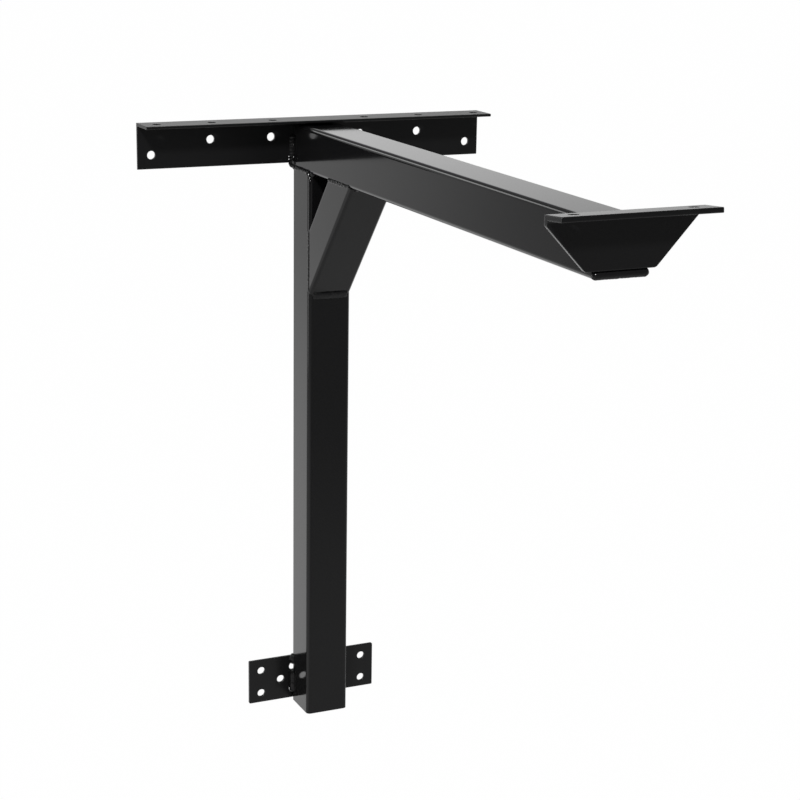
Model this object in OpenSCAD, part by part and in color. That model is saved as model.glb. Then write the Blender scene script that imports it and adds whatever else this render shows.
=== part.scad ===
// Cantilever bracket for a wall-hung table or counter: a wall rail, a cantilever arm, a post that
// runs down the wall to a foot plate, a mitred knee brace and a short front angle, all welded.
// The wall lies in the plane Y = 0 and the arm reaches out along -Y. +Z is up.
// The origin is midway between the two outer wall holes of the rail, on the wall.

/* [Square tube] */
// Outside width of the arm, post and brace tube
tube_side = 50.8; // [44:0.1:60]
// Wall of the tube
tube_wall = 3.2; // [2:0.1:5]
// Outside radius of the tube's rounded corners
tube_corner = 4.8; // [3.6:0.1:8]

/* [Angle and plate stock] */
// Thickness of the wall rail and of the foot plate
stock_thickness = 3.2; // [2.6:0.1:5]
// Fillet in the root of the angles
root_fillet = 2.2; // [1:0.1:2.6]
// Radius of the angles' toes and of the plate's corners
toe_radius = 1.1; // [0.4:0.1:1.3]
// Diameter of every screw hole
hole_diameter = 9.4; // [5:0.1:11]

/* [Wall rail] */
// Length of the rail along the wall
rail_length = 412; // [380:1:600]
// Height of the leg that lies on the wall
rail_leg = 50.8; // [45:0.1:60]
// Depth of the flange that carries the table top
rail_flange = 38.1; // [32:0.1:60]
// Distance of the outer holes from the rail's ends
rail_end_margin = 15.5; // [10:0.1:25]
// Depth of the outer wall holes below the rail's top
wall_outer_drop = 35.4; // [20:0.1:38]
// Depth of the middle and inner wall holes below the rail's top
wall_inner_drop = 20.8; // [14:0.1:36]
// Spacing of the middle wall holes
wall_middle_pitch = 250.6; // [150:0.1:330]
// Spacing of the inner wall holes
wall_inner_pitch = 108; // [85:0.1:130]
// Sideways offset of the middle and inner wall holes
wall_inner_shift = 3; // [-5:0.1:5]
// Distance of the flange holes from the wall
flange_hole_depth = 21.4; // [14:0.1:24]
// Sideways offset of the outer flange holes
flange_outer_shift = 1; // [-4:0.1:4]
// Spacing of the middle flange holes
flange_middle_pitch = 248.4; // [150:0.1:330]
// Sideways offset of the middle flange holes
flange_middle_shift = -2.8; // [-5:0.1:5]
// Spacing of the inner flange holes
flange_inner_pitch = 110.4; // [60:0.1:130]
// Sideways offset of the inner flange holes
flange_inner_shift = -0.8; // [-5:0.1:5]

/* [Arm and post] */
// Gap between the rail's flange and the arm's top, clear of the rail's root
arm_gap = 2.7; // [2.6:0.1:6]
// Length of the arm tube
arm_length = 676; // [300:1:900]
// Length of the post tube
post_length = 646; // [300:1:900]

/* [Knee brace] */
// Reach of the brace's centre line along the arm, from the post's front
brace_run = 83.7; // [70:0.1:140]
// Drop of the brace's centre line down the post, from the arm's underside
brace_drop = 98.4; // [75:0.1:160]

/* [Front angle] */
// Thickness of the front angle
front_thickness = 4.8; // [3.2:0.1:6]
// Width of the front flange
front_width = 152.5; // [120:0.5:220]
// Depth of the front flange
front_depth = 29; // [25:0.1:50]
// Height of the front leg
front_leg = 49.5; // [35:0.1:51]
// Width of the leg's taper at the underside of the flange
front_leg_top = 150; // [100:0.5:200]
// Width of the leg at its lower edge
front_leg_bottom = 67; // [60:0.5:90]
// Clip on the leg's lower corners
front_leg_clip = 1.2; // [1:0.1:6]
// Height of the front angle's heel over the rail's top
front_rise = 0.6; // [0:0.1:2]
// Sideways offset of the front flange from the arm
front_shift = 5.2; // [-8:0.1:8]
// Angle by which the front flange is opened upward
front_opening = 5; // [0:0.1:6]
// Spacing of the front flange's holes
front_hole_pitch = 114; // [80:0.1:116]
// Distance of the front holes from the back of the leg
front_hole_depth = 13.6; // [12.5:0.1:16]

/* [Foot plate] */
// Width of the foot plate
foot_width = 160; // [150:1:220]
// Height of the foot plate
foot_height = 53.8; // [51:0.1:80]
// Height of the foot plate's lower edge over the post's lower end
foot_lift = 2; // [0:0.1:40]
// Depth of the upper hole row below the plate's top
foot_row_drop = 13.7; // [8:0.1:16]
// Distance between the two hole rows
foot_row_pitch = 28.6; // [20:0.1:30]
// Spacing of the outer hole pairs
foot_outer_pitch = 129.6; // [110:0.1:135]
// Spacing of the middle holes
foot_middle_pitch = 80; // [74:0.1:90]
// Spacing of the inner hole pairs, half hidden behind the post
foot_inner_pitch = 49; // [40:0.1:54]

/* [Weld beads] */
// Radius of the fillet beads on the rail, under the arm's root and behind the front leg
fillet_radius = 5.6; // [4:0.1:6.5]
// Depth of the fillet beads' centre line inside the corner that they fill
fillet_sink = 1.2; // [0.5:0.1:2]
// Depth of the rail beads' upper ends below the arm's top
rail_bead_drop = 12; // [8:0.5:20]
// Radius of the beads in the grooves along the post's upper end
groove_radius = 3.2; // [2.6:0.1:4]
// Depth of the groove beads' centre line below the tubes' sides and above the joint
groove_sink = 1.6; // [1:0.1:2.4]
// Radius of the nearly flush beads on the brace's sides
flush_radius = 5; // [4.4:0.1:6]
// Depth of the nearly flush beads' centre line below the tubes' sides
flush_sink = 4.2; // [3:0.1:4.4]
// Radius of the wide, flat beads along the brace's lower face
wide_radius = 9; // [7:0.1:11]
// Depth of the wide beads' centre line inside the corner that they cover
wide_sink = 6.4; // [4:0.1:7.4]
// Radius of the beads in the grooves behind the post, on the foot plate
foot_bead_radius = 4.4; // [3.4:0.1:5]
// Depth of the foot beads' centre line below the post's side and before the plate
foot_bead_sink = 2.2; // [1.4:0.1:3]
// Height of the short upper foot beads over the plate's top
foot_bead_rise = 1.5; // [0.5:0.1:3]
// Radius of the bead across the arm's front end, below the front leg
end_bead_radius = 4.2; // [4:0.1:5]
// Length of the bead across the arm's front end
end_bead_length = 55; // [46:0.5:64]
// Sideways offset of the bead across the arm's front end
end_bead_shift = 2; // [-4:0.1:4]

/* [Hidden] */
$fn = 48;
paint = [0.06, 0.06, 0.06];
bead_paint = [0.12, 0.12, 0.12];
tube_inner_corner = max(tube_corner - tube_wall, 0.5);
tube_flat = tube_side - 2 * tube_corner;
drill_overrun = 2;
flat_margin = 0.3;

// Levels and planes that the pieces share
rail_top_z = wall_outer_drop;
rail_bottom_z = rail_top_z - rail_leg;
arm_top_z = rail_top_z - stock_thickness - arm_gap;
arm_bottom_z = arm_top_z - tube_side;
post_bottom_z = arm_bottom_z - post_length;
leg_front_y = -stock_thickness;
post_front_y = leg_front_y - tube_side;
arm_end_y = leg_front_y - arm_length;
front_heel_z = rail_top_z + front_rise;
foot_bottom_z = post_bottom_z + foot_lift;
foot_top_z = foot_bottom_z + foot_height;
foot_upper_row_z = foot_top_z - foot_row_drop;
foot_lower_row_z = foot_upper_row_z - foot_row_pitch;
rail_outer_pitch = rail_length - 2 * rail_end_margin;

// The brace's axis, its tilt from the vertical and the width of its mitres
brace_length = norm([brace_run, brace_drop]);
brace_tilt = atan2(brace_run, brace_drop);
brace_half_on_arm = tube_side / 2 / cos(brace_tilt);
brace_half_on_post = tube_side / 2 / sin(brace_tilt);
brace_overrun = 2 * tube_side;

// Square with true arcs at its corners
module rounded_square(side, radius) {
    square([side - 2 * radius, side], center = true);
    square([side, side - 2 * radius], center = true);
    for (x = [-1, 1], y = [-1, 1])
        translate([x, y] * (side / 2 - radius)) circle(radius);
}

module tube_section() {
    difference() {
        rounded_square(tube_side, tube_corner);
        rounded_square(tube_side - 2 * tube_wall, tube_inner_corner);
    }
}

// What a round edge of this radius takes off a corner that points up and to the right
module corner_waste(radius) {
    difference() {
        square(2 * radius, center = true);
        translate([-radius, -radius]) circle(radius);
        translate([-2 * radius, -2 * radius]) square([radius, 4 * radius]);
        translate([-2 * radius, -2 * radius]) square([4 * radius, radius]);
    }
}

// One limb of an angle, with both edges of its toe rounded
module limb_section(reach, thickness) {
    difference() {
        translate([0, -thickness]) square([reach, thickness]);
        translate([reach, 0]) corner_waste(toe_radius);
        translate([reach, -thickness]) mirror([0, 1]) corner_waste(toe_radius);
    }
}

// Section of an angle: heel at the origin, flange along +X opened upward, leg down along -Y
module angle_section(leg, flange, thickness, opening) {
    rotate(opening) limb_section(flange, thickness);
    mirror([1, 1]) limb_section(leg, thickness);
    difference() {
        translate([thickness, -thickness - root_fillet]) square([root_fillet, root_fillet]);
        translate([thickness + root_fillet, -thickness - root_fillet]) circle(root_fillet);
    }
}

// Stands a section in the plane across the rail and draws it along X, centred
module along_rail(length) {
    rotate([90, 0, -90]) linear_extrude(length, center = true) children();
}

module hole_pair(pitch, shift) {
    for (side = [-1, 1])
        translate([shift + side * pitch / 2, 0, 0]) children();
}

// Hole through stock that stands on the wall, bored along Y
module wall_hole() {
    rotate([90, 0, 0])
        translate([0, 0, -drill_overrun])
            cylinder(h = stock_thickness + 2 * drill_overrun, d = hole_diameter);
}

// Hole through a level flange, bored down from its top
module flange_hole(depth) {
    translate([0, 0, -depth - drill_overrun])
        cylinder(h = depth + 2 * drill_overrun, d = hole_diameter);
}

module rail_bar() {
    translate([0, 0, rail_top_z])
        along_rail(rail_length) angle_section(rail_leg, rail_flange, stock_thickness, 0);
}

module wall_rail() {
    color(paint) difference() {
        rail_bar();
        hole_pair(rail_outer_pitch, 0) wall_hole();
        translate([0, 0, rail_top_z - wall_inner_drop]) {
            hole_pair(wall_middle_pitch, wall_inner_shift) wall_hole();
            hole_pair(wall_inner_pitch, wall_inner_shift) wall_hole();
        }
        translate([0, -flange_hole_depth, rail_top_z]) {
            hole_pair(rail_outer_pitch, flange_outer_shift) flange_hole(stock_thickness);
            hole_pair(flange_middle_pitch, flange_middle_shift) flange_hole(stock_thickness);
            hole_pair(flange_inner_pitch, flange_inner_shift) flange_hole(stock_thickness);
        }
    }
}

// Places a section as the arm lies, running out from the rail's leg
module as_arm() {
    translate([0, leg_front_y, arm_bottom_z + tube_side / 2])
        rotate([90, 0, 0]) linear_extrude(arm_length) children();
}

// Places a section as the post stands, flush with the rail's leg
module as_post() {
    translate([0, leg_front_y - tube_side / 2, post_bottom_z]) linear_extrude(post_length) children();
}

// Places a section along the brace's axis, long enough to be mitred at both ends
module as_brace() {
    translate([0, post_front_y, arm_bottom_z - brace_drop])
        rotate([brace_tilt, 0, 0])
            translate([0, 0, -brace_overrun])
                linear_extrude(brace_length + 2 * brace_overrun) children();
}

module arm_tube() {
    color(paint) as_arm() tube_section();
}

module post_tube() {
    color(paint) as_post() tube_section();
}

// The tube is cut level under the arm and upright against the post
module knee_brace() {
    reach = brace_run + brace_overrun;
    drop = brace_drop + brace_overrun;
    color(paint) intersection() {
        as_brace() tube_section();
        translate([-tube_side, post_front_y - reach, arm_bottom_z - drop])
            cube([2 * tube_side, reach, drop]);
    }
}

// Outline of the front leg, seen along the arm, hanging from the underside of the flange
module front_leg_outline() {
    depth = front_leg - front_thickness;
    top = front_leg_top / 2;
    bottom = front_leg_bottom / 2;
    slope = (top - bottom) / depth;
    polygon([
        [-top, 0], [top, 0],
        [bottom + front_leg_clip * slope, front_leg_clip - depth], [bottom - front_leg_clip, -depth],
        [front_leg_clip - bottom, -depth], [-bottom - front_leg_clip * slope, front_leg_clip - depth]
    ]);
}

module front_bar() {
    translate([front_shift, arm_end_y, front_heel_z])
        along_rail(front_width)
            angle_section(front_leg, front_depth, front_thickness, front_opening);
}

// A short angle whose leg is cut to a taper round the arm and whose flange stands a little open
module front_angle() {
    cut_depth = front_thickness + root_fillet;
    cut_width = front_width + 2 * abs(front_shift) + tube_side;
    color(paint) difference() {
        front_bar();
        translate([0, arm_end_y + drill_overrun, front_heel_z - front_thickness])
            rotate([90, 0, 0])
                linear_extrude(cut_depth + drill_overrun)
                    difference() {
                        translate([-cut_width / 2, -front_leg]) square([cut_width, front_leg]);
                        front_leg_outline();
                    }
        translate([0, arm_end_y - front_hole_depth, front_heel_z + drill_overrun])
            hole_pair(front_hole_pitch, front_shift) flange_hole(front_thickness + drill_overrun);
    }
}

module foot_plate() {
    color(paint) difference() {
        translate([0, 0, foot_bottom_z + foot_height / 2])
            rotate([90, 0, 0])
                linear_extrude(stock_thickness)
                    difference() {
                        square([foot_width, foot_height], center = true);
                        for (x = [0, 1], y = [0, 1])
                            mirror([x, 0]) mirror([0, y])
                                translate([foot_width, foot_height] / 2) corner_waste(toe_radius);
                    }
        for (z = [foot_upper_row_z, foot_lower_row_z])
            translate([0, 0, z]) {
                hole_pair(foot_outer_pitch, 0) wall_hole();
                hole_pair(foot_inner_pitch, 0) wall_hole();
            }
        translate([0, 0, (foot_upper_row_z + foot_lower_row_z) / 2])
            hole_pair(foot_middle_pitch, 0) wall_hole();
    }
}

// Round-ended bar of weld metal along Z, centred
module bead(length, radius) {
    cylinder(h = length, r = radius, center = true);
    for (side = [-1, 1])
        translate([0, 0, side * length / 2]) sphere(radius);
}

module bead_along_y(length, radius) {
    rotate([90, 0, 0]) bead(length, radius);
}

module bead_along_x(length, radius) {
    rotate([0, 90, 0]) bead(length, radius);
}

// The same thing on the left and on the right of the tube, this far inside its side
module both_sides(sink) {
    for (side = [0, 1])
        mirror([side, 0, 0]) translate([tube_side / 2 - sink, 0, 0]) children();
}

module rail_beads() {
    low = arm_bottom_z + fillet_radius;
    high = arm_top_z - rail_bead_drop - fillet_radius;
    both_sides(fillet_sink)
        translate([0, leg_front_y + fillet_sink, (low + high) / 2]) bead(high - low, fillet_radius);
}

// Upright beads between the arm's sides and the rail's leg, run on round the leg's lower edge
module rail_weld() {
    color(bead_paint) difference() {
        rail_beads();
        rail_bar();
        as_arm() rounded_square(tube_side, tube_corner);
        translate([-tube_side, leg_front_y / 2, arm_bottom_z - tube_side])
            cube([2 * tube_side, tube_side, 3 * tube_side]);
    }
}

// Beads in the grooves under the arm's round lower edges, and one across the post's front
module post_weld() {
    color(bead_paint) difference() {
        union() {
            both_sides(groove_sink)
                translate([0, leg_front_y - tube_side / 2, arm_bottom_z + groove_sink])
                    bead_along_y(tube_side - 2 * groove_radius, groove_radius);
            translate([0, post_front_y + fillet_sink, arm_bottom_z + fillet_sink])
                bead_along_x(tube_side - 2 * fillet_radius - 2 * toe_radius, fillet_radius);
        }
        as_arm() rounded_square(tube_side, tube_corner);
        as_post() rounded_square(tube_side, tube_corner);
        rail_beads();
    }
}

// Wide, flat bead over a corner at the origin, sunk along this direction from +Y towards +Z. It
// stops where the round corners of the tube begin.
module wide_bead(direction) {
    rotate([direction, 0, 0])
        translate([0, wide_sink, 0])
            rotate([0, 90, 0]) cylinder(h = tube_flat - 2 * flat_margin, r = wide_radius, center = true);
}

// Beads round the upper mitre of the brace, against the arm's underside
module brace_top_weld() {
    centre_y = post_front_y - brace_run;
    length = 2 * (brace_half_on_arm - tube_corner) - flush_radius;
    color(bead_paint) difference() {
        union() {
            both_sides(flush_sink)
                translate([0, centre_y, arm_bottom_z + groove_sink])
                    bead_along_y(length, flush_radius);
            translate([0, centre_y - brace_half_on_arm, arm_bottom_z])
                wide_bead(45 + brace_tilt / 2);
        }
        as_arm() rounded_square(tube_side, tube_corner);
        knee_brace_envelope();
    }
}

// Beads round the lower mitre of the brace, against the post's front
module brace_foot_weld() {
    centre_z = arm_bottom_z - brace_drop;
    length = 2 * (brace_half_on_post - tube_corner) - flush_radius;
    color(bead_paint) difference() {
        union() {
            both_sides(flush_sink)
                translate([0, post_front_y + groove_sink, centre_z]) bead(length, flush_radius);
            translate([0, post_front_y, centre_z - brace_half_on_post])
                wide_bead(brace_tilt / 2);
        }
        as_post() rounded_square(tube_side, tube_corner);
        knee_brace_envelope();
    }
}

// The brace without its hollow
module knee_brace_envelope() {
    reach = brace_run + brace_overrun;
    drop = brace_drop + brace_overrun;
    intersection() {
        as_brace() rounded_square(tube_side, tube_corner);
        translate([-tube_side, post_front_y - reach, arm_bottom_z - drop])
            cube([2 * tube_side, reach, drop]);
    }
}

// Foot bead between these two levels
module foot_bead(low, high) {
    both_sides(foot_bead_sink)
        translate([0, leg_front_y - foot_bead_sink, (low + high) / 2])
            cylinder(h = high - low, r = foot_bead_radius, center = true);
}

// Upright beads in the grooves between the foot plate and the post's round rear edges, a long one
// below the upper holes and a short one above them
module foot_plate_weld() {
    color(bead_paint) difference() {
        union() {
            foot_bead(foot_bottom_z, foot_upper_row_z - hole_diameter / 2);
            foot_bead(foot_upper_row_z + hole_diameter / 2, foot_top_z + foot_bead_rise);
        }
        as_post() rounded_square(tube_side, tube_corner);
        translate([-foot_width / 2, leg_front_y, foot_bottom_z])
            cube([foot_width, tube_side, foot_height]);
    }
}

// Upright beads between the arm's sides and the back of the front leg, and one that closes the
// arm's end below the leg
module front_weld() {
    low = front_heel_z - front_leg + fillet_radius;
    high = arm_top_z - fillet_radius;
    color(bead_paint) difference() {
        union() {
            difference() {
                both_sides(fillet_sink)
                    translate([0, arm_end_y - fillet_sink, (low + high) / 2])
                        bead(high - low, fillet_radius);
                translate([-tube_side, arm_end_y - tube_side, arm_bottom_z - tube_side])
                    cube([2 * tube_side, tube_side, 3 * tube_side]);
            }
            translate([end_bead_shift, arm_end_y, (front_heel_z - front_leg + arm_bottom_z) / 2])
                bead_along_x(end_bead_length - 2 * end_bead_radius, end_bead_radius);
        }
        as_arm() rounded_square(tube_side, tube_corner);
        front_bar();
    }
}

wall_rail();
arm_tube();
post_tube();
knee_brace();
front_angle();
foot_plate();
rail_weld();
post_weld();
brace_top_weld();
brace_foot_weld();
foot_plate_weld();
front_weld();
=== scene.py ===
"""Looks of a wall-hung cantilever bracket: welded steel under black powder coat, in soft studio light."""
import math

import bmesh
import bpy
from mathutils import Matrix, Vector, noise


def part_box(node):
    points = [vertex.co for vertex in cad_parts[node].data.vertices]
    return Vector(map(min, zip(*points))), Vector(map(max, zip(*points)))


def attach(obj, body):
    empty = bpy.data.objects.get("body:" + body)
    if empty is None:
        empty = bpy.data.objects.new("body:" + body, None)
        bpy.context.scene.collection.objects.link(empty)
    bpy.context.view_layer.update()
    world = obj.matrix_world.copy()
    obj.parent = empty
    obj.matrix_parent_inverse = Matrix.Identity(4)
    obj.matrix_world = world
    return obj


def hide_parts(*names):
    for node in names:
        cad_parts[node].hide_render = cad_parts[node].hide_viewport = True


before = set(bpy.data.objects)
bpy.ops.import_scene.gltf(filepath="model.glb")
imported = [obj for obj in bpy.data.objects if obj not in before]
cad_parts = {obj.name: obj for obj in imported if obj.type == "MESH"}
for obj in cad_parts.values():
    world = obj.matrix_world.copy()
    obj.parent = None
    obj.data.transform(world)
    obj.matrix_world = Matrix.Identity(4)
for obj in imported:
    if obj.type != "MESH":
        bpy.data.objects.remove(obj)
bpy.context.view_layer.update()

MM = 0.001
X, Y, Z = 0, 1, 2
LOW, HIGH = 0, 1


def box_end(node, axis, end):
    """Where the box of a CAD node ends along an axis, in millimetres, to a tenth."""
    return round(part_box(node)[end][axis] / MM, 1)


# Planes and levels of the steel that the beads follow, in millimetres
TUBE_SIDE = box_end("arm_tube", X, HIGH)
LEG_FRONT = box_end("arm_tube", Y, HIGH)
ARM_END = box_end("arm_tube", Y, LOW)
ARM_UNDERSIDE = box_end("arm_tube", Z, LOW)
ARM_TOP = box_end("arm_tube", Z, HIGH)
POST_FRONT = box_end("post_tube", Y, LOW)
BRACE_TOP_TOE = box_end("knee_brace", Y, LOW)
BRACE_FOOT_TOE = box_end("knee_brace", Z, LOW)
FRONT_LEG_LOW = box_end("front_angle", Z, LOW)

# Where the brace's inner edge meets the arm and the post, in millimetres
BRACE_TOP_HEEL = -104.4
BRACE_FOOT_HEEL = -80.5

# Where beads begin and end, in millimetres
RAIL_BEAD_TOP = 17.0
FRONT_BEAD_LEVEL = -17.4
FRONT_BEAD_HALF = 27.5
FRONT_BEAD_SHIFT = 2.0
FOOT_BEAD_LOW = box_end("foot_plate_weld", Z, LOW)
FOOT_BEAD_HIGH = box_end("foot_plate_weld", Z, HIGH)
FOOT_METAL_LOW = -655.5

# Points of a CAD mesh this close are one, in metres
SAME_POINT = 0.000001

# Width of a facet of the beads, in millimetres
FACET = 0.45

# A wide bead swells between its ends: half of its length, and how far the swelling fades, in millimetres
WIDE_HALF = 21.0
WIDE_FADE = 4.0

# Balls of metal at the round corners of the brace's beads, in millimetres
CORNER_SIDE = 15.3
CORNER_RADIUS = 9.0

# The unevenness of hand welding: over what lengths a bead wanders and lumps, in millimetres
WANDER_LENGTH = 7.0
LUMP_LENGTH = 2.6
LUMP_SHIFT = Vector((31.0, 7.0, 3.0))

# How far a scale trails beside its run, in pitches to the square millimetre, and wanders, in pitches
SCALE_BOW = 0.012
WANDER_ALONG = 0.9

# Shares of a scale's height: its middle level, and how much it lumps and wanders
SCALE_MIDDLE = 0.65
LUMP_HEIGHT = 0.8
WANDER_HEIGHT = 0.9

# The height over which the bead between the arm and the rail turns hollow, in millimetres
HOLLOW_FADE = 4.0

# It is drawn in fully where its distances from both faces multiply to this, in square millimetres
HOLLOW_FULL = 7.6

# It is drawn in no more than this many times as far
HOLLOW_MOST = 1.2

# The share of a slanting move that goes along each of its two axes
DIAGONAL = math.sqrt(0.5)

# How finely lumps of metal and drops of spatter are divided
LUMP_SIDES = 32
LUMP_RINGS = 16
DROP_SIDES = 24
DROP_RINGS = 16

# A drop of spatter is a ball pressed flat, in millimetres, that faces this way
DROP_SHAPE = Matrix.Diagonal((1.6, 1.6, 0.22, 1.0))
DROP_FACING = Vector((-0.403, -0.837, 0.371)).to_track_quat("Z", "Y").to_matrix().to_4x4()

# The camera, in metres, degrees and millimetres of lens and sensor
CAMERA_PLACE = (-0.8233, -2.0498, 0.2971)
CAMERA_TURN = (75.0, -0.876, -24.338)
CAMERA_LENS = 87.79
SENSOR_WIDTH = 36.0

# The floor, in metres
FLOOR_LEVEL = -1.1
FLOOR_HALF = 30.0

# Colours, and how strongly the coat bends light
WHITE = (1.0, 1.0, 1.0, 1.0)
PALE_PAINT = (0.8, 0.8, 0.8, 1.0)
COAT_BLACK = (0.010, 0.010, 0.0105, 1.0)
COAT_IOR = 1.5

# Brightness of what the object reflects, where 1 is white
SWEEP_LEVEL = 0.88
BACK_STRIP_LEVEL = 0.4
LEFT_STRIP_LEVEL = 2.0

# How much of the floor's look to the camera is plain white. The rest is paint, which holds the shadow
SEEN_WHITE = 0.995


# Shader nodes

def feed(tree, socket, value):
    """Gives a socket a plain value, or links it to the socket that carries its value."""
    source = value.socket if isinstance(value, Value) else value
    if isinstance(source, bpy.types.NodeSocket):
        tree.links.new(source, socket)
    else:
        socket.default_value = source


class Value:
    """A shader socket whose arithmetic adds Math nodes to its tree."""

    def __init__(self, tree, socket):
        self.tree = tree
        self.socket = socket

    def _math(self, operation, first, second):
        node = self.tree.nodes.new("ShaderNodeMath")
        node.operation = operation
        for socket, value in zip(node.inputs, (first, second)):
            feed(self.tree, socket, value)
        return Value(self.tree, node.outputs[0])

    def __add__(self, other):
        return self._math("ADD", self, other)

    def __radd__(self, other):
        return self._math("ADD", other, self)

    def __sub__(self, other):
        return self._math("SUBTRACT", self, other)

    def __rsub__(self, other):
        return self._math("SUBTRACT", other, self)

    def __mul__(self, other):
        return self._math("MULTIPLY", self, other)

    def __rmul__(self, other):
        return self._math("MULTIPLY", other, self)

    def __truediv__(self, other):
        return self._math("DIVIDE", self, other)

    def __rtruediv__(self, other):
        return self._math("DIVIDE", other, self)


class Shading:
    """Adds nodes to one node tree and links what they are given."""

    def __init__(self, tree):
        self.tree = tree
        tree.nodes.clear()

    def node(self, kind, settings=None, in_order=(), **sockets):
        """A node of this kind: its settings first, then its first sockets in order, then others by name."""
        made = self.tree.nodes.new(kind)
        for name, value in (settings or {}).items():
            setattr(made, name, value)
        for socket, value in zip(made.inputs, in_order):
            feed(self.tree, socket, value)
        for name, value in sockets.items():
            feed(self.tree, made.inputs[name.replace("_", " ")], value)
        return made

    def out(self, made, name):
        """An output of a node, ready for arithmetic."""
        return Value(self.tree, made.outputs[name])

    def axes(self, coordinates):
        """The X, Y and Z of these texture coordinates."""
        place = self.node("ShaderNodeTexCoord").outputs[coordinates]
        split = self.node("ShaderNodeSeparateXYZ", Vector=place)
        return [self.out(split, axis) for axis in "XYZ"]

    def ramp(self, value, begin, end, first=0.0, last=1.0):
        """Goes smoothly from first, where the value is begin, to last, where it is end."""
        made = self.node(
            "ShaderNodeMapRange", {"interpolation_type": "SMOOTHSTEP"},
            Value=value, From_Min=begin, From_Max=end, To_Min=first, To_Max=last,
        )
        return self.out(made, "Result")

    def mix(self, share, shader, other):
        """A shader with this share of another one."""
        return self.node("ShaderNodeMixShader", in_order=(share, shader.outputs[0], other.outputs[0]))

    def finish(self, shader, kind="ShaderNodeOutputMaterial"):
        """Makes this shader the one that the tree puts out."""
        self.node(kind, in_order=(shader.outputs[0],))


# Powder coat

def powder_coat(name, gloss, patchiness, peel_depth, edge=0.0009):
    """Near-black coat, of slightly uneven gloss, with a fine orange peel. Depth and edge are in metres."""
    material = bpy.data.materials.new(name)
    material.use_nodes = True
    shade = Shading(material.node_tree)
    place = shade.node("ShaderNodeTexCoord").outputs["Object"]
    patches = shade.out(shade.node("ShaderNodeTexNoise", Vector=place, Scale=9.0, Detail=3.0), "Fac")
    peel = shade.out(shade.node("ShaderNodeTexNoise", Vector=place, Scale=420.0, Detail=2.0), "Fac")
    edges = shade.node("ShaderNodeBevel", {"samples": 8}, Radius=edge)
    surface = shade.node(
        "ShaderNodeBump", Strength=1.0, Distance=peel_depth, Height=peel, Normal=edges.outputs["Normal"],
    )
    roughness = gloss + patchiness * patches
    coat = shade.node(
        "ShaderNodeBsdfPrincipled", Base_Color=COAT_BLACK, Roughness=roughness, Metallic=0.0, IOR=COAT_IOR,
        Normal=surface.outputs["Normal"],
    )
    shade.finish(coat)
    return material


def coat_nodes():
    """Gives the tubes, the angles and the foot plate their finish."""
    tube_coat = powder_coat("black_powder_coat_on_tube", gloss=0.08, patchiness=0.04, peel_depth=0.000008)
    stock_coat = powder_coat(
        "black_powder_coat_on_hot_rolled_stock", gloss=0.20, patchiness=0.05, peel_depth=0.000012,
    )
    rail_coat = powder_coat("black_powder_coat_on_rail", gloss=0.28, patchiness=0.06, peel_depth=0.000012)
    angle_coat = powder_coat(
        "black_powder_coat_on_front_angle", gloss=0.20, patchiness=0.05, peel_depth=0.000012, edge=0.0018,
    )
    coats = {
        "arm_tube": tube_coat, "post_tube": tube_coat, "knee_brace": tube_coat,
        "wall_rail": rail_coat, "front_angle": angle_coat, "foot_plate": stock_coat,
    }
    for name, material in coats.items():
        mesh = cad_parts[name].data
        mesh.materials.clear()
        mesh.materials.append(material)


# Weld beads

def left_and_right(start, end):
    """One run of weld along the left side of the tube and its twin on the right."""
    return [
        (Vector((side * start[0], start[1], start[2])), Vector((side * end[0], end[1], end[2])))
        for side in (-1, 1)
    ]


def on_both_sides(x, y, z, radius, tall=0.0):
    """Weld metal on the left and right of the tube: a ball, or an upright bar this tall."""
    return [((side * x, y, z), radius, tall) for side in (-1, 1)]


def run_across(y, z, half=TUBE_SIDE, shift=0.0):
    """One run of weld across the width of the tube."""
    return [(Vector((shift - half, y, z)), Vector((shift + half, y, z)))]


def along_run(place, run):
    """How far a place lies along a run of weld, and how far from its line."""
    start, end = run
    axis = (end - start).normalized()
    reach = (place - start).dot(axis)
    held = min(max(reach, 0.0), (end - start).length)
    return reach, (place - start - held * axis).length


def ripple(place, runs, pitch, height):
    """Scales laid one over the next along the nearest run, uneven as hand welding leaves them."""
    reach, off = min((along_run(place, run) for run in runs), key=lambda found: found[1])
    wander = noise.noise(place / WANDER_LENGTH)
    scale = abs(math.sin(math.pi * (reach / pitch + SCALE_BOW * off * off + WANDER_ALONG * wander)))
    lump = noise.noise(place / LUMP_LENGTH + LUMP_SHIFT)
    return height * (scale - SCALE_MIDDLE) + LUMP_HEIGHT * height * lump + WANDER_HEIGHT * height * wander


def hollow_fillet(place, depth):
    """Draws the bead between the arm and the rail's leg in, so that its face is hollow and not round."""
    beside = max(abs(place.x) - TUBE_SIDE, 0.0)
    before = max(LEG_FRONT - place.y, 0.0)
    if place.z < ARM_UNDERSIDE + HOLLOW_FADE:
        depth *= max((place.z - ARM_UNDERSIDE) / HOLLOW_FADE, 0.0)
    pull = depth * min(beside * before / HOLLOW_FULL, HOLLOW_MOST) * DIAGONAL
    return Vector((math.copysign(pull, -place.x), pull, 0.0))


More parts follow.
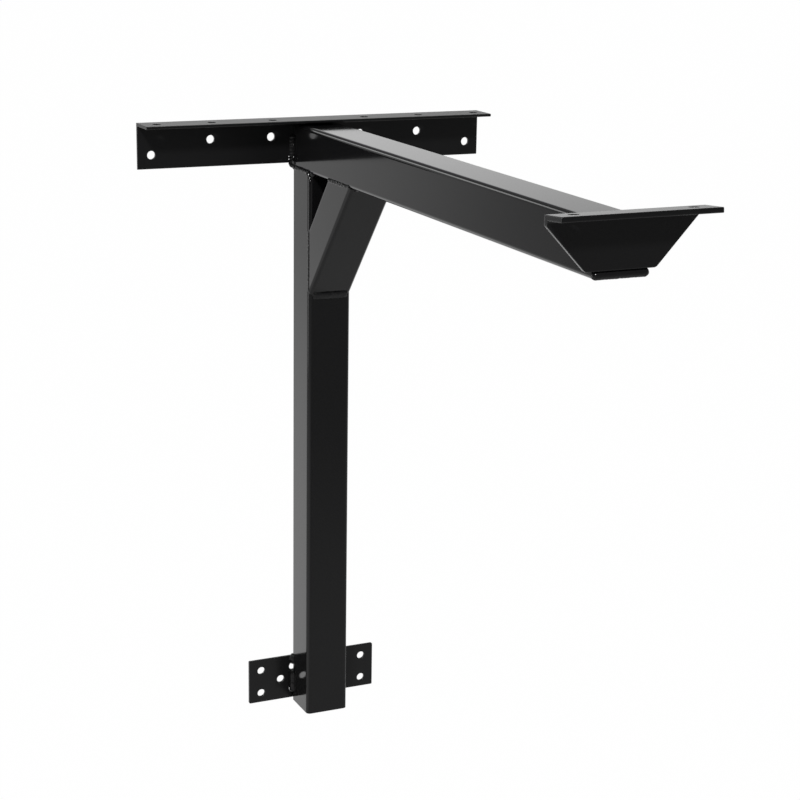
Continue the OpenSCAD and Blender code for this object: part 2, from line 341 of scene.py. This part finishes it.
def metal_of_bead(node, lumps, low_end):
    """The node's solid, cut off flat below low_end, with lumps of weld metal over it."""
    bead = bmesh.new()
    bead.from_mesh(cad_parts[node].data)
    bmesh.ops.remove_doubles(bead, verts=bead.verts, dist=SAME_POINT)
    if low_end is not None:
        for vert in bead.verts:
            vert.co.z = max(vert.co.z, low_end * MM)
    for place, radius, tall in lumps:
        middle = Matrix.Translation(Vector(place) * MM)
        if tall:
            bmesh.ops.create_cone(
                bead, cap_ends=True, segments=LUMP_SIDES, radius1=radius * MM, radius2=radius * MM,
                depth=tall * MM, matrix=middle,
            )
        else:
            bmesh.ops.create_uvsphere(
                bead, u_segments=LUMP_SIDES, v_segments=LUMP_RINGS, radius=radius * MM, matrix=middle,
            )
    return bead


def joined_in_even_facets(name, bead):
    """A piece whose mesh is one skin round all the metal of the bead, in even facets."""
    rough = bpy.data.meshes.new(name + "_rough")
    bead.to_mesh(rough)
    bead.free()
    piece = bpy.data.objects.new(name, rough)
    bpy.context.scene.collection.objects.link(piece)
    facets = piece.modifiers.new("even_facets", "REMESH")
    facets.mode = "VOXEL"
    facets.voxel_size = FACET * MM
    whole = piece.evaluated_get(bpy.context.evaluated_depsgraph_get())
    laid = bpy.data.meshes.new_from_object(whole)
    laid.name = name
    piece.modifiers.clear()
    piece.data = laid
    return piece


def weld_bead(
    node, material, runs, pitch=3.4, height=0.3, swell=0.0, lumps=(), spatter=(), hollow=0.0, low_end=None,
):
    """A bead as laid, in place of the node: rippled, with its round corners closed, and any spatter."""
    piece = joined_in_even_facets(node + "_beads", metal_of_bead(node, lumps, low_end))
    bead = bmesh.new()
    bead.from_mesh(piece.data)
    bead.normal_update()
    moves = []
    for vert in bead.verts:
        place = vert.co / MM
        wide = min(max((WIDE_HALF - abs(place.x)) / WIDE_FADE, 0.0), 1.0)
        outward = swell * wide + ripple(place, runs, pitch, height)
        moves.append(outward * vert.normal + hollow_fillet(place, hollow))
    for vert, move in zip(bead.verts, moves):
        vert.co += move * MM
    for place in spatter:
        drop = Matrix.Translation(Vector(place) * MM) @ DROP_FACING @ DROP_SHAPE
        bmesh.ops.create_uvsphere(
            bead, u_segments=DROP_SIDES, v_segments=DROP_RINGS, radius=MM, matrix=drop,
        )
    for face in bead.faces:
        face.smooth = True
    bead.to_mesh(piece.data)
    bead.free()
    piece.data.materials.clear()
    piece.data.materials.append(material)
    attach(piece, "root")
    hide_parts(node)


def weld_beads():
    """All the beads, node by node. Lumps and drops of spatter are placed in millimetres."""
    coat = powder_coat("coated_weld", gloss=0.12, patchiness=0.05, peel_depth=0.00002)
    weld_bead(
        "rail_weld", coat,
        left_and_right((TUBE_SIDE, LEG_FRONT, ARM_UNDERSIDE), (TUBE_SIDE, LEG_FRONT, RAIL_BEAD_TOP)),
        lumps=on_both_sides(25.7, -8.0, 15.0, radius=1.4) + on_both_sides(29.7, -3.9, -9.5, radius=1.5),
        spatter=[
            (-26.2, -9.0, 14.5), (-26.4, -9.0, -8.0), (-30.4, -5.0, -8.0), (-30.6, -5.2, -11.0),
            (26.2, -8.6, -9.5),
        ],
        hollow=1.8,
    )
    weld_bead(
        "post_weld", coat,
        left_and_right((TUBE_SIDE, LEG_FRONT, ARM_UNDERSIDE), (TUBE_SIDE, POST_FRONT, ARM_UNDERSIDE))
        + run_across(POST_FRONT, ARM_UNDERSIDE),
        lumps=on_both_sides(26.0, -51.0, -22.0, radius=1.6),
        spatter=[(-26.4, -54.4, -21.8), (-25.2, -55.4, -25.5), (-24.8, -55.4, -28.5)],
        pitch=3.8, height=0.5,
    )
    weld_bead(
        "brace_top_weld", coat,
        left_and_right(
            (TUBE_SIDE, BRACE_TOP_HEEL, ARM_UNDERSIDE), (TUBE_SIDE, BRACE_TOP_TOE, ARM_UNDERSIDE),
        )
        + run_across(BRACE_TOP_TOE, ARM_UNDERSIDE),
        lumps=on_both_sides(CORNER_SIDE, BRACE_TOP_TOE + 2.7, ARM_UNDERSIDE + 5.8, CORNER_RADIUS),
        pitch=3.8, height=0.5,
    )
    weld_bead(
        "brace_foot_weld", coat,
        left_and_right((TUBE_SIDE, POST_FRONT, BRACE_FOOT_HEEL), (TUBE_SIDE, POST_FRONT, BRACE_FOOT_TOE))
        + run_across(POST_FRONT, BRACE_FOOT_TOE),
        lumps=on_both_sides(CORNER_SIDE, POST_FRONT + 6.0, BRACE_FOOT_TOE + 2.2, CORNER_RADIUS),
        swell=0.8,
    )
    weld_bead(
        "foot_plate_weld", coat,
        left_and_right((TUBE_SIDE, LEG_FRONT, FOOT_BEAD_LOW), (TUBE_SIDE, LEG_FRONT, FOOT_BEAD_HIGH)),
        lumps=on_both_sides(24.6, -6.4, -643.5, radius=5.0, tall=23.0)
        + on_both_sides(25.2, -6.0, -613.5, radius=4.4) + on_both_sides(25.9, -5.2, -609.6, radius=1.7),
        spatter=[(-29.4, -6.6, -614.0)],
        low_end=FOOT_METAL_LOW,
    )
    weld_bead(
        "front_weld", coat,
        left_and_right((TUBE_SIDE, ARM_END, FRONT_LEG_LOW), (TUBE_SIDE, ARM_END, ARM_TOP))
        + run_across(ARM_END, FRONT_BEAD_LEVEL, FRONT_BEAD_HALF, FRONT_BEAD_SHIFT),
        height=0.15,
    )


# Studio

def studio_world():
    """A white sweep behind the object that fades to the left and overhead, and a dim room in front."""
    world = bpy.data.worlds.new("studio")
    bpy.context.scene.world = world
    world.use_nodes = True
    shade = Shading(world.node_tree)
    across, behind, up = shade.axes("Generated")
    from_left = shade.ramp(across, begin=-0.62, end=-0.18)
    from_right = shade.ramp(across, begin=0.85, end=0.36)
    from_top = shade.ramp(up, begin=0.30, end=0.10)
    sweep = shade.ramp(behind, begin=0.2, end=0.7) * from_left * from_right * from_top
    dim_room = (
        shade.ramp(behind, begin=-0.2, end=0.5, first=0.10, last=0.16)
        * shade.ramp(across, begin=-0.6, end=0.1, first=0.5, last=1.0)
    )
    back_strip = (
        shade.ramp(up, begin=0.20, end=0.25) * shade.ramp(up, begin=0.35, end=0.29)
        * shade.ramp(across, begin=0.12, end=0.25)
    )
    left_strip = (
        shade.ramp(up, begin=0.22, end=0.29) * shade.ramp(up, begin=0.44, end=0.38)
        * shade.ramp(across, begin=-0.18, end=-0.25)
    )
    strips = (
        shade.ramp(behind, begin=0.6, end=0.8)
        * (BACK_STRIP_LEVEL * back_strip + LEFT_STRIP_LEVEL * left_strip)
    )
    light = dim_room + SWEEP_LEVEL * sweep + strips
    seen = shade.node("ShaderNodeBackground", Strength=1.0, Color=WHITE)
    cast = shade.node("ShaderNodeBackground", Strength=light, Color=WHITE)
    to_camera = shade.node("ShaderNodeLightPath").outputs["Is Camera Ray"]
    shade.finish(shade.mix(to_camera, cast, seen), kind="ShaderNodeOutputWorld")


def pale_floor_paint_and_glow():
    """Pale paint that glows white to the camera. In reflections it glows as painted light, bright behind
    the object and dim in front.
    """
    material = bpy.data.materials.new("pale_floor")
    material.use_nodes = True
    shade = Shading(material.node_tree)
    across, behind, _ = shade.axes("Object")
    # Painted light: how strongly the floor glows in reflections, by where it lies
    front = (
        shade.ramp(behind, begin=-3.0, end=-0.8, first=0.16, last=0.34)
        * shade.ramp(across, begin=-0.6, end=-1.2, first=1.0, last=1.7)
        * shade.ramp(across, begin=-2.2, end=-5.0, first=1.0, last=0.3)
    )
    back = (
        shade.ramp(behind, begin=0.8, end=5.5, first=1.05, last=0.62)
        * shade.ramp(across / behind, begin=-0.66, end=-0.36, first=0.42, last=1.0)
    )
    past_object = shade.ramp(behind, begin=0.25, end=1.0)
    glow_level = front + past_object * (back - front)
    path = shade.node("ShaderNodeLightPath")
    in_reflection = shade.out(path, "Is Glossy Ray")
    to_camera = shade.out(path, "Is Camera Ray")
    paint = shade.node("ShaderNodeBsdfDiffuse", Color=PALE_PAINT)
    glow = shade.node("ShaderNodeEmission", Color=WHITE, Strength=to_camera + in_reflection * glow_level)
    shade.finish(shade.mix(in_reflection + SEEN_WHITE * to_camera, paint, glow))
    return material


def studio_floor():
    """A wide square floor below the object."""
    mesh = bpy.data.meshes.new("studio_floor")
    grid = bmesh.new()
    bmesh.ops.create_grid(grid, x_segments=1, y_segments=1, size=FLOOR_HALF)
    bmesh.ops.translate(grid, verts=grid.verts, vec=(0, 0, FLOOR_LEVEL))
    grid.to_mesh(mesh)
    grid.free()
    floor = bpy.data.objects.new("studio_floor", mesh)
    bpy.context.scene.collection.objects.link(floor)
    mesh.materials.append(pale_floor_paint_and_glow())


def softbox(name, place, target, width, height, radiance):
    """A rectangular soft light that faces its target. Its power follows from how bright it looks."""
    light = bpy.data.lights.new(name, "AREA")
    light.shape = "RECTANGLE"
    light.size = width
    light.size_y = height
    light.energy = radiance * math.pi * width * height
    lamp = bpy.data.objects.new(name, light)
    lamp.location = place
    lamp.rotation_euler = (Vector(target) - Vector(place)).to_track_quat("-Z", "Y").to_euler()
    bpy.context.scene.collection.objects.link(lamp)


def studio_lights():
    """A wide light overhead, a tall one on the left and a small bright one in front."""
    softbox(
        "overhead_softbox", place=(-0.1, 0.9, 2.2), target=(0.0, -0.3, 0.0),
        width=2.0, height=1.8, radiance=1.6,
    )
    softbox(
        "left_softbox", place=(-2.3, 0.7, 0.1), target=(0.0, -0.1, -0.3),
        width=0.6, height=2.0, radiance=2.2,
    )
    softbox(
        "front_key", place=(-1.6, -2.6, 2.2), target=(0.0, -0.3, -0.2),
        width=0.4, height=0.4, radiance=110.0,
    )


def camera():
    """The camera at the photograph's viewing angle."""
    data = bpy.data.cameras.new("camera")
    data.sensor_width = SENSOR_WIDTH
    data.lens = CAMERA_LENS
    view = bpy.data.objects.new("camera", data)
    view.location = CAMERA_PLACE
    view.rotation_euler = [math.radians(angle) for angle in CAMERA_TURN]
    bpy.context.scene.collection.objects.link(view)
    bpy.context.scene.camera = view


coat_nodes()
weld_beads()
studio_world()
studio_floor()
studio_lights()
camera()
bpy.context.scene.view_settings.view_transform = "Standard"
